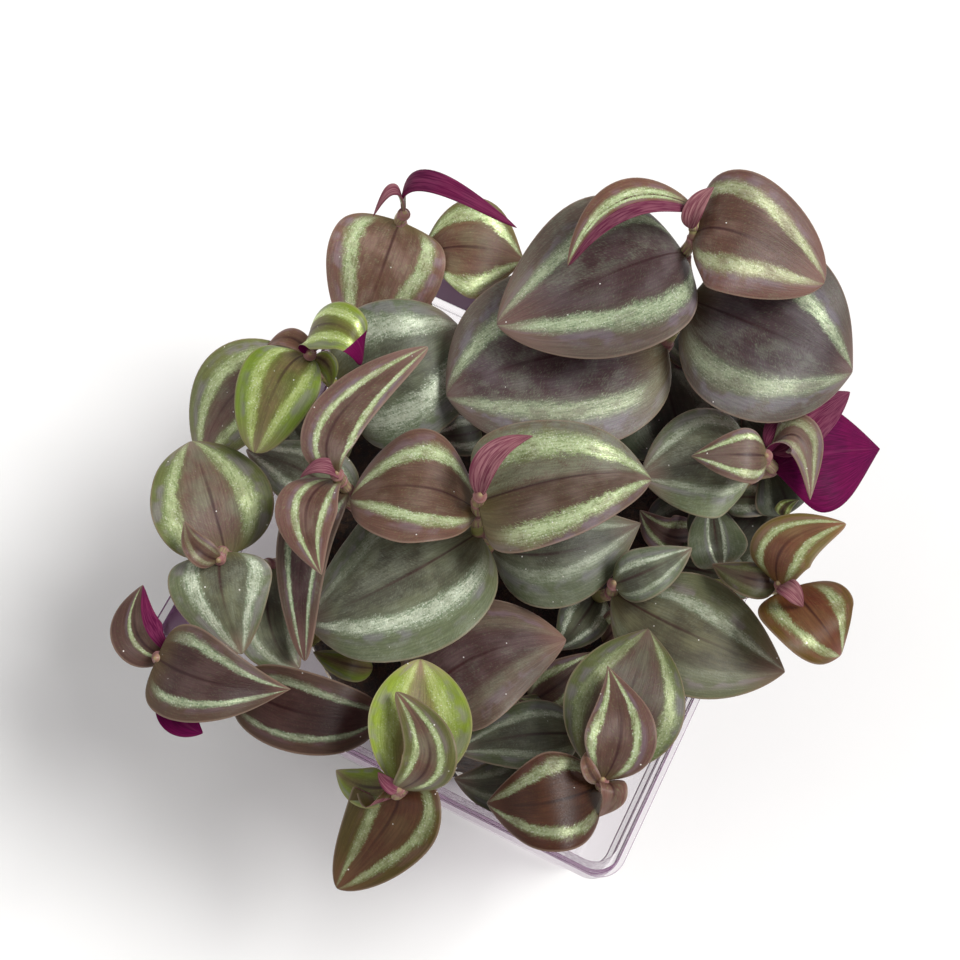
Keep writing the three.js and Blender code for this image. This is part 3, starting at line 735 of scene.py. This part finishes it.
def blade_faces(leaf, s, t, seed):
    """The upper and the lower face's points on the grid of s along and t across the blade."""
    origin = midrib(leaf, s)
    tangent = unit(midrib(leaf, s + STEP) - midrib(leaf, s - STEP))
    chord = midrib(leaf, np.array((0.0, 1.0)))
    level = unit(np.cross(chord[1] - chord[0], UPWARD))
    side = unit(level - (tangent @ level)[:, None] * tangent)
    turn = -math.radians(leaf.roll)
    side = side * math.cos(turn) + np.cross(tangent, side) * math.sin(turn)
    normal = np.cross(side, tangent)

    half = half_widths(leaf, s)[:, None]
    across = t * half
    fold = math.radians(leaf.fold)
    crease = np.hypot(across * math.sin(fold), LEAF_CREASE) - LEAF_CREASE
    waves = np.sin(TURN * (RIPPLES * s[:, None] + RIPPLE_SHIFT * np.sign(t)) + seed)
    lift = crease + (leaf.cup + RIPPLE_HEIGHT * waves) * half * t ** 2
    thick = LEAF_THICKNESS / 2 * np.sqrt(1 - t ** 4) * half / (half + LEAF_THIN_EDGE)
    flat = origin[:, None] + (across * math.cos(fold))[..., None] * side[:, None]
    return [flat + (lift + way * thick)[..., None] * normal[:, None] for way in (1, -1)]


def leaf_skin(leaf, s, t):
    """The faces over the two ends and over both faces' grids, and the material of each."""
    rows, columns = len(s), len(t)
    top = 2 + np.arange(rows * columns).reshape(rows, columns)
    bottom = top.copy()
    bottom[:, 1:-1] = 2 + rows * columns + np.arange(rows * (columns - 2)).reshape(rows, -1)
    top_kind = int(leaf.tone == "magenta")
    first, last, left, right = leaf.bare
    faces = []
    kinds = []
    for j in range(columns - 1):
        faces += [(0, top[0, j + 1], top[0, j]), (0, bottom[0, j], bottom[0, j + 1])]
        faces += [(1, top[-1, j], top[-1, j + 1]), (1, bottom[-1, j + 1], bottom[-1, j])]
        kinds += [top_kind, 1 - top_kind] * 2
        for i in range(rows - 1):
            faces.append((top[i, j], top[i, j + 1], top[i + 1, j + 1], top[i + 1, j]))
            faces.append((bottom[i, j], bottom[i + 1, j], bottom[i + 1, j + 1], bottom[i, j + 1]))
            bare = first <= s[i] <= last and left <= t[j] <= right
            kinds += [1 if bare else top_kind, 1 - top_kind]
    return faces, kinds


def leaf_layers(leaf, s, t, length, seed):
    """What the materials read at each point: at both ends and on both faces' grids."""
    along, across = np.meshgrid(s, t, indexing="ij")
    left = across < 0
    left_middle, left_spread, right_middle, right_spread = np.resize(leaf.stripes, 4)
    pull = np.clip((along - STRIPE_PULL_START) / (1 - STRIPE_PULL_START), 0, 1) ** STRIPE_PULL_POWER
    middle = np.where(left, left_middle, right_middle) * (1 - STRIPE_PULL * pull)
    stripe = (np.abs(across) - middle) / np.where(left, left_spread, right_spread)
    rim = (1 - np.abs(across)) * half_widths(leaf, s)[:, None]
    glow = np.where(left, *np.resize(leaf.glow, 2))
    bloom = np.where(left, *np.resize(leaf.bloom, 2))
    dim = (0, leaf.value, leaf.warm)
    layers = {}
    for label, ends, grids in (
        ("blade", ((0, 0, seed), (0, length, seed)), (across * leaf.width / 2, along * length, seed)),
        ("marks", ((-2, 0, 0), (-2, 0, 1)), (stripe, rim, along)),
        ("mood", (dim, dim), (glow, leaf.value, leaf.warm)),
        ("silver", ((0, 0, 0), (0, 0, 0)), (bloom, bloom, bloom)),
    ):
        grid = np.dstack(np.broadcast_arrays(*grids))
        layers[label] = np.vstack((ends, grid.reshape(-1, 3), grid[:, 1:-1].reshape(-1, 3)))
    return layers


def leaf_piece(name, leaf, seed, stands_for=()):
    """One leaf: a closed blade whose upper face is striped and whose lower face is magenta."""
    s = (1 - np.cos(np.linspace(0, math.pi, LEAF_ALONG + 1)[1:-1])) / 2
    paces = np.linspace(-1, 1, 2 * LEAF_HALF_ACROSS + 1)
    t = np.sign(paces) * (1 - np.cos(math.pi * np.abs(paces))) / 2
    upper, lower = blade_faces(leaf, s, t, seed)
    ends = midrib(leaf, np.array((0.0, 1.0)))
    points = np.vstack((ends, upper.reshape(-1, 3), lower[:, 1:-1].reshape(-1, 3)))
    faces, kinds = leaf_skin(leaf, s, t)
    layers = leaf_layers(leaf, s, t, np.linalg.norm(ends[1] - ends[0]), seed)
    tone = "brown" if leaf.tone == "magenta" else leaf.tone
    return add_piece(
        name, points, faces, [tone, "under"], "leaf_" + leaf.tone, stands_for, kinds, layers
    )


# Stems.
STEM_SIDES = 14
STEM_STEPS = 12
STEM_END_RADIUS = 0.9
STEM_LEAST = 0.05
NODE_SWELL = 0.12
NODE_REACH = 2.2
SHEATH_LENGTH = 4.2
SHEATH_RINGS = 7
SHEATH_GAP = 0.12
SHEATH_FLARE = 0.18
# Tilts the vertical, so that an upright tube has a first direction too.
ASKEW = 0.01


def spline(points, steps):
    """The centripetal Catmull-Rom curve through the points, with steps places a stretch."""
    ends = [2 * points[0] - points[1], *points, 2 * points[-1] - points[-2]]
    u = (np.arange(steps) / steps)[:, None]
    curve = []
    for a, b, c, d in zip(ends, ends[1:], ends[2:], ends[3:]):
        before, here, after = (math.sqrt(np.linalg.norm(q - p)) for p, q in ((a, b), (b, c), (c, d)))
        start = ((b - a) / before - (c - a) / (before + here) + (c - b) / here) * here
        finish = ((c - b) / here - (d - b) / (here + after) + (d - c) / after) * here
        line = b + u ** 2 * (3 - 2 * u) * (c - b)
        curve.append(line + u * (1 - u) ** 2 * start - u ** 2 * (1 - u) * finish)
    return np.vstack((*curve, points[-1]))


def bands(first, rings, around):
    """The faces between rings of points, one ring after the other."""
    return [
        (low + i, low + (i + 1) % around, low + around + (i + 1) % around, low + around + i)
        for low in range(first, first + (rings - 1) * around, around)
        for i in range(around)
    ]


def closed(rings, around):
    """The faces of rings that a first and a last point close."""
    faces = bands(1, rings, around)
    last = 1 + (rings - 1) * around
    for i in range(around):
        j = (i + 1) % around
        faces += [(0, 1 + j, 1 + i), (last + around, last + i, last + j)]
    return faces


def tube(centres, radii, sides):
    """The points and the faces of rings round a line, closed at both ends."""
    tangents = unit(np.gradient(centres, axis=0))
    across = unit(np.cross(tangents[0], UPWARD + ASKEW))
    points = [centres[0]]
    for centre, radius, tangent in zip(centres, radii, tangents):
        across = unit(across - (across @ tangent) * tangent)
        other = np.cross(tangent, across)
        for angle in np.arange(sides) / sides * TURN:
            points.append(centre + radius * (math.cos(angle) * across + math.sin(angle) * other))
    points.append(centres[-1])
    return points, closed(len(centres), sides)


def joined(parts):
    """The points and the faces of several parts as those of one."""
    points = []
    faces = []
    for more_points, more_faces in parts:
        faces += [tuple(len(points) + corner for corner in face) for face in more_faces]
        points += more_points
    return points, faces


def lengths(curve):
    return np.concatenate(([0], np.cumsum(np.linalg.norm(np.diff(curve, axis=0), axis=1))))


def sheath(curve, run, radii, node):
    """A thin sleeve round the stem that flares up to a node."""
    rise = np.linspace(0, 1, SHEATH_RINGS)
    where = node - SHEATH_LENGTH * (1 - rise)
    centres = np.column_stack([np.interp(where, run, curve[:, axis]) for axis in range(3)])
    thick = np.interp(where, run, radii) + SHEATH_GAP + SHEATH_FLARE * rise ** 2
    turns = np.abs(np.linspace(-1, 1, STEM_SIDES))
    reach = [(0, 0, 0), *((turn, r, 0) for r in rise for turn in turns), (0, 1, 0)]
    return tube(centres, thick, STEM_SIDES), reach


def stem_piece(number, shoot):
    """A stem that swells at its nodes, with a sheath below each leaf, as one piece."""
    places = [place(p) for p in (shoot.root, shoot.bend, *(leaf.places[0] for leaf in shoot.leaves))]
    places.append(places[-1] + STEM_TIP * unit(places[-1] - places[-2]))
    curve = spline(places, STEM_STEPS)
    run = lengths(curve)
    nodes = run[2 * STEM_STEPS:-1:STEM_STEPS]
    near = np.exp(-((run[:, None] - nodes) / NODE_REACH) ** 2).max(axis=1)
    slim = np.interp(run, (0, run[-1]), (STEM_RADIUS, STEM_END_RADIUS))
    end = np.sqrt(np.clip((run[-1] - run) / STEM_TIP, 0, 1))
    radii = slim * (1 - NODE_SWELL / 2 + NODE_SWELL * near) * np.clip(end, STEM_LEAST, 1)
    stem = tube(curve, radii, STEM_SIDES)
    rings = [(n, r, 0) for n, r in zip(near, run) for _ in range(STEM_SIDES)]
    parts = [(stem, [(0, 0, 0), *rings, (1, run[-1], 0)])]
    parts += [sheath(curve, run, radii, node) for node in nodes]
    points, faces = joined(part for part, _ in parts)
    kinds = [int(i >= len(stem[1])) for i in range(len(faces))]
    reach = [row for _, rows in parts for row in rows]
    return add_piece(
        f"stalk_{number:02d}", points, faces, ["stem", "sheath"], "stem",
        [f"stem_{number:02d}"], kinds, {"reach": reach},
    )


# The root ball, and what shows in it.
BALL_AROUND = 180
BALL_UP = 60
BALL_RINGS = 26
SHOULDER = 3.0
SHOULDER_STEPS = 4
BALL_TOP_DEPTH = 1.0
BALL_ROUGHNESS = 1.3
LUMPS_PER_MM = 0.16
LUMP_SHARE = 0.45
LUMP_FRACTAL = (1.0, 2.0, 4)
CRUMBS_PER_MM = 0.7
CRUMB_SHARE = 0.25
PERLITE_COUNT = 90
PERLITE_AROUND = 8
PERLITE_RINGS = 5
PERLITE_SIZES = (0.7, 1.6)
PERLITE_UNEVEN = (0.75, 1.05)
PERLITE_POLE = 0.9
PERLITE_ON_SIDE = 0.6
PERLITE_MARGIN = 4.0
PERLITE_SUNK = 0.9
ROOT_COUNT = 16
ROOT_PLACES = 9
ROOT_STEPS = 4
ROOT_SIDES = 8
ROOT_RADII = (0.55, 0.22)
ROOT_LOWEST_START = 30.0
ROOT_TOP_MARGIN = 6.0
ROOT_BOTTOM_MARGIN = 3.0
ROOT_DRIFT = 0.06
ROOT_WANDER = 0.07
ROOT_DROPS = (1.5, 5.5)
ROOT_SUNK = 0.15


def polar(radius, angle, height):
    return np.array((radius * math.cos(angle), radius * math.sin(angle), height))


def ball_radius(share):
    """The radius of the ball's side at a share of its height."""
    return BALL_BOTTOM_RADIUS + share * (BALL_TOP_RADIUS - BALL_BOTTOM_RADIUS)


def side_place(angle, height, sunk):
    """A place in the ball's side, sunk below its skin."""
    radius = ball_radius((height - BALL_BOTTOM) / (BALL_TOP - BALL_BOTTOM)) - sunk
    return polar(radius, angle, height)


def ball_outline():
    """The ball's profile as radius and height, from the middle below to the middle above."""
    side = [(BALL_BOTTOM_RADIUS - SHOULDER, BALL_BOTTOM)]
    for u in np.linspace(0, 1, BALL_UP):
        edge = min(1, u * BALL_UP / SHOULDER_STEPS, (1 - u) * BALL_UP / SHOULDER_STEPS)
        drop = SHOULDER * (1 - math.sqrt(1 - (1 - edge) ** 2))
        side.append((ball_radius(u) - drop, BALL_BOTTOM + u * (BALL_TOP - BALL_BOTTOM)))
    below = [(side[0][0] * i / BALL_RINGS, BALL_BOTTOM) for i in range(1, BALL_RINGS)]
    above = [(side[-1][0] * (1 - i / BALL_RINGS), BALL_TOP) for i in range(1, BALL_RINGS)]
    return below + side + above


def crumble(point):
    """How far a place on the ball's skin sinks: crumbs of two sizes, as a part from 0 to 1."""
    lumps = noise.fractal(Vector(point) * LUMPS_PER_MM, *LUMP_FRACTAL)
    crumbs = noise.noise(Vector(point) * CRUMBS_PER_MM)
    return min(1.0, max(0.0, 0.5 + LUMP_SHARE * lumps + CRUMB_SHARE * crumbs))


def root_ball_piece():
    """The ball of peat, whose top sinks down and whose side sinks in where it crumbles."""
    points = [(0.0, 0.0, BALL_BOTTOM)]
    outline = ball_outline()
    for radius, height in outline:
        for angle in np.arange(BALL_AROUND) / BALL_AROUND * TURN:
            sink = BALL_ROUGHNESS * crumble(polar(radius, angle, height))
            if height > BALL_TOP - BALL_TOP_DEPTH:
                points.append(polar(radius, angle, height - sink))
            else:
                points.append(polar(radius - sink, angle, height))
    points.append((0.0, 0.0, BALL_TOP - BALL_ROUGHNESS / 2))
    faces = closed(len(outline), BALL_AROUND)
    return add_piece("peat_ball", points, faces, ["peat"], "peat", ["root_ball"])


def perlite_crumb(draw, middle, size):
    """A crumb whose corners lie at uneven distances from its middle."""
    lines = []
    for turn in np.arange(PERLITE_AROUND) / PERLITE_AROUND * TURN:
        for i in range(1, PERLITE_RINGS + 1):
            tall = math.pi * i / (PERLITE_RINGS + 1)
            way = polar(math.sin(tall), turn, math.cos(tall))
            lines.append(middle + size * draw.uniform(*PERLITE_UNEVEN) * way)
    rings = np.reshape(lines, (PERLITE_AROUND, PERLITE_RINGS, 3)).transpose(1, 0, 2)[::-1]
    pole = size * PERLITE_POLE * UPWARD
    return [middle - pole, *rings.reshape(-1, 3), middle + pole], closed(PERLITE_RINGS, PERLITE_AROUND)


def perlite_piece(draw):
    """Crumbs of white perlite, partly sunk in the ball's side and top, as one piece."""
    crumbs = []
    for _ in range(PERLITE_COUNT):
        angle = draw.uniform(0, TURN)
        size = draw.uniform(*PERLITE_SIZES)
        if draw.random() < PERLITE_ON_SIDE:
            height = draw.uniform(BALL_BOTTOM + PERLITE_MARGIN, BALL_TOP - PERLITE_MARGIN)
            middle = side_place(angle, height, PERLITE_SUNK)
        else:
            radius = draw.uniform(PERLITE_MARGIN, BALL_TOP_RADIUS - PERLITE_MARGIN)
            middle = polar(radius, angle, BALL_TOP - PERLITE_SUNK)
        crumbs.append(perlite_crumb(draw, middle, size))
    return add_piece("perlite", *joined(crumbs), ["perlite"], "peat")


def roots_piece(draw):
    """White roots that wander over the ball's side, partly sunk in it, as one piece."""
    roots = []
    for _ in range(ROOT_COUNT):
        angle = draw.uniform(0, TURN)
        height = draw.uniform(ROOT_LOWEST_START, BALL_TOP - ROOT_TOP_MARGIN)
        drift = draw.uniform(-ROOT_DRIFT, ROOT_DRIFT)
        path = []
        for _ in range(ROOT_PLACES):
            path.append(side_place(angle, height, ROOT_SUNK))
            angle += drift + draw.uniform(-ROOT_WANDER, ROOT_WANDER)
            height = max(BALL_BOTTOM + ROOT_BOTTOM_MARGIN, height - draw.uniform(*ROOT_DROPS))
        curve = spline(path, ROOT_STEPS)
        roots.append(tube(curve, np.linspace(*ROOT_RADII, len(curve)), ROOT_SIDES))
    return add_piece("side_roots", *joined(roots), ["root"], "peat")


# The pot.
CORNERS = ((1, 1), (-1, 1), (-1, -1), (1, -1))


def square_ring(half, height):
    """A level square outline with rounded corners."""
    radius = CORNER_RADIUS - (RIM_HALF - half) * CORNER_NARROWING
    ring = []
    for quarter, (x, y) in enumerate(CORNERS):
        middle = np.array((x, y, 0)) * (half - radius)
        for turn in np.linspace(quarter, quarter + 1, CORNER_STEPS + 1) * TURN / 4:
            ring.append(middle + polar(radius, turn, height))
    return ring


def rounded(profile):
    """The profile with each of its inner corners cut by a small arc."""
    points = [np.array(p) for p in profile]
    line = [points[0]]
    for before, corner, after in zip(points, points[1:], points[2:]):
        start, finish = (
            corner + unit(end - corner) * min(EDGE_CUT, np.linalg.norm(end - corner) / 2)
            for end in (before, after)
        )
        for u in np.linspace(0, 1, EDGE_STEPS):
            line.append((1 - u) ** 2 * start + 2 * u * (1 - u) * corner + u ** 2 * finish)
    return [*line, points[-1]]


def foot(half, height):
    """A skin's level floor and the slant up to its wall."""
    return [(half - 2 * FOOT_EDGE, height), (half - FOOT_EDGE, height), (half, height + FOOT_EDGE)]


def pot_profile():
    """The pot's skin as half width and height, from its underside round to its floor."""
    collar_half = RIM_HALF - LIP_REACH
    collar_top = COLLAR_BOTTOM + COLLAR_STEP
    wall_top = collar_half - COLLAR_STEP
    ribs = [
        (collar_half + depth, height + way * RIB_HALF)
        for height in RIBS
        for way, depth in ((-2, 0), (-1, RIB_DEPTH), (1, RIB_DEPTH), (2, 0))
    ]
    return [
        *foot(BASE_HALF, 0),
        (wall_top, COLLAR_BOTTOM),
        (collar_half, collar_top),
        *ribs,
        (collar_half, POT_HEIGHT - LIP_HEIGHT),
        (RIM_HALF, POT_HEIGHT - LIP_HEIGHT),
        (RIM_HALF, POT_HEIGHT),
        (collar_half - WALL, POT_HEIGHT),
        (collar_half - WALL, collar_top + WALL),
        (wall_top - WALL, COLLAR_BOTTOM + WALL),
        *foot(BASE_HALF - WALL, POT_FLOOR)[::-1],
    ]


def drill(pot, x, y):
    """Cut a drain hole through the pot's floor."""
    centre = np.array((x, y, 0.0))
    line = [centre - 2 * UPWARD, centre + UPWARD, centre + 2 * POT_FLOOR * UPWARD]
    points, faces = tube(np.array(line), [DRAIN_RADIUS] * len(line), DRAIN_SIDES)
    plug = add_piece("drain_plug", points, faces, ["plastic"])
    cut = pot.modifiers.new("drain", "BOOLEAN")
    cut.object = plug
    cut.operation = "DIFFERENCE"
    cut.solver = "EXACT"
    bpy.context.view_layer.update()
    seen = pot.evaluated_get(bpy.context.evaluated_depsgraph_get())
    shape = bpy.data.meshes.new_from_object(seen)
    pot.modifiers.clear()
    pot.data = shape
    bpy.data.objects.remove(plug)


def pot_piece():
    """The clear pot: its walls, collar, lip and floor as one skin, then its drain holes."""
    rings = [square_ring(half, height) for half, height in rounded(pot_profile())]
    count = len(rings[0])
    points = [point for ring in rings for point in ring]
    faces = [tuple(range(count))[::-1], tuple(range(len(points) - count, len(points)))]
    faces += bands(0, len(rings), count)
    pot = add_piece("clear_pot", points, faces, ["plastic"], "clear_pot", ["pot"])
    for x, y in ((1, 0), (0, 1), (-1, 0), (0, -1)):
        drill(pot, x * DRAIN_REACH, y * DRAIN_REACH)
    pot.data.set_sharp_from_angle(angle=SHARP_ANGLE)
    return pot


def build():
    """The pot, the ball with what shows in it, and each shoot with its leaves and buds."""
    draw = random.Random(SEED)
    pot_piece()
    root_ball_piece()
    perlite_piece(draw)
    roots_piece(draw)
    for number, shoot in enumerate(SHOOTS, 1):
        stem_piece(number, shoot)
        for letter, leaf in zip("abcdef", shoot.leaves):
            end = f"_{number:02d}_{letter}"
            leaf_piece("blade" + end, leaf, draw.uniform(0, 10), ["leaf" + end])
        for letter, leaf in zip("abcdefgh", shoot.buds):
            leaf_piece(f"bud_{number:02d}_{letter}", leaf, draw.uniform(0, 10))


def add_sun(name, spot, size, strength):
    """A distant lamp that shines from a spot towards the pot; size is its angle in degrees."""
    data = bpy.data.lights.new(name, "SUN")
    data.angle = math.radians(size)
    data.energy = strength
    put(name, data).rotation_euler = Vector(spot).to_track_quat("Z", "Y").to_euler()


# Each lamp's direction from the pot, its angle in degrees and its strength.
LAMPS = {
    "key": ((0.5, 0.3, 0.81), 28.0, 2.7),
    "fill": ((-0.6, -0.3, 0.7), 50.0, 0.5),
}
SKY_STRENGTH = 0.36
FLOOR_HALF = 20000.0
FLOOR_HEIGHT = -0.1


def studio():
    """A pale floor, two soft lamps and an even pale sky."""
    corners = [(x * FLOOR_HALF, y * FLOOR_HALF, FLOOR_HEIGHT) for x, y in CORNERS]
    floor = add_piece("floor", corners, [(0, 1, 2, 3)], ["floor"])
    for name, lamp in LAMPS.items():
        add_sun(name, *lamp)
    world = bpy.data.worlds.new("sky")
    world.use_nodes = True
    sky = world.node_tree.nodes["Background"]
    sky.inputs["Color"].default_value = (1.0, 1.0, 1.0, 1.0)
    sky.inputs["Strength"].default_value = SKY_STRENGTH
    bpy.context.scene.world = world
    bpy.context.scene.view_settings.view_transform = "Standard"


build()
studio()
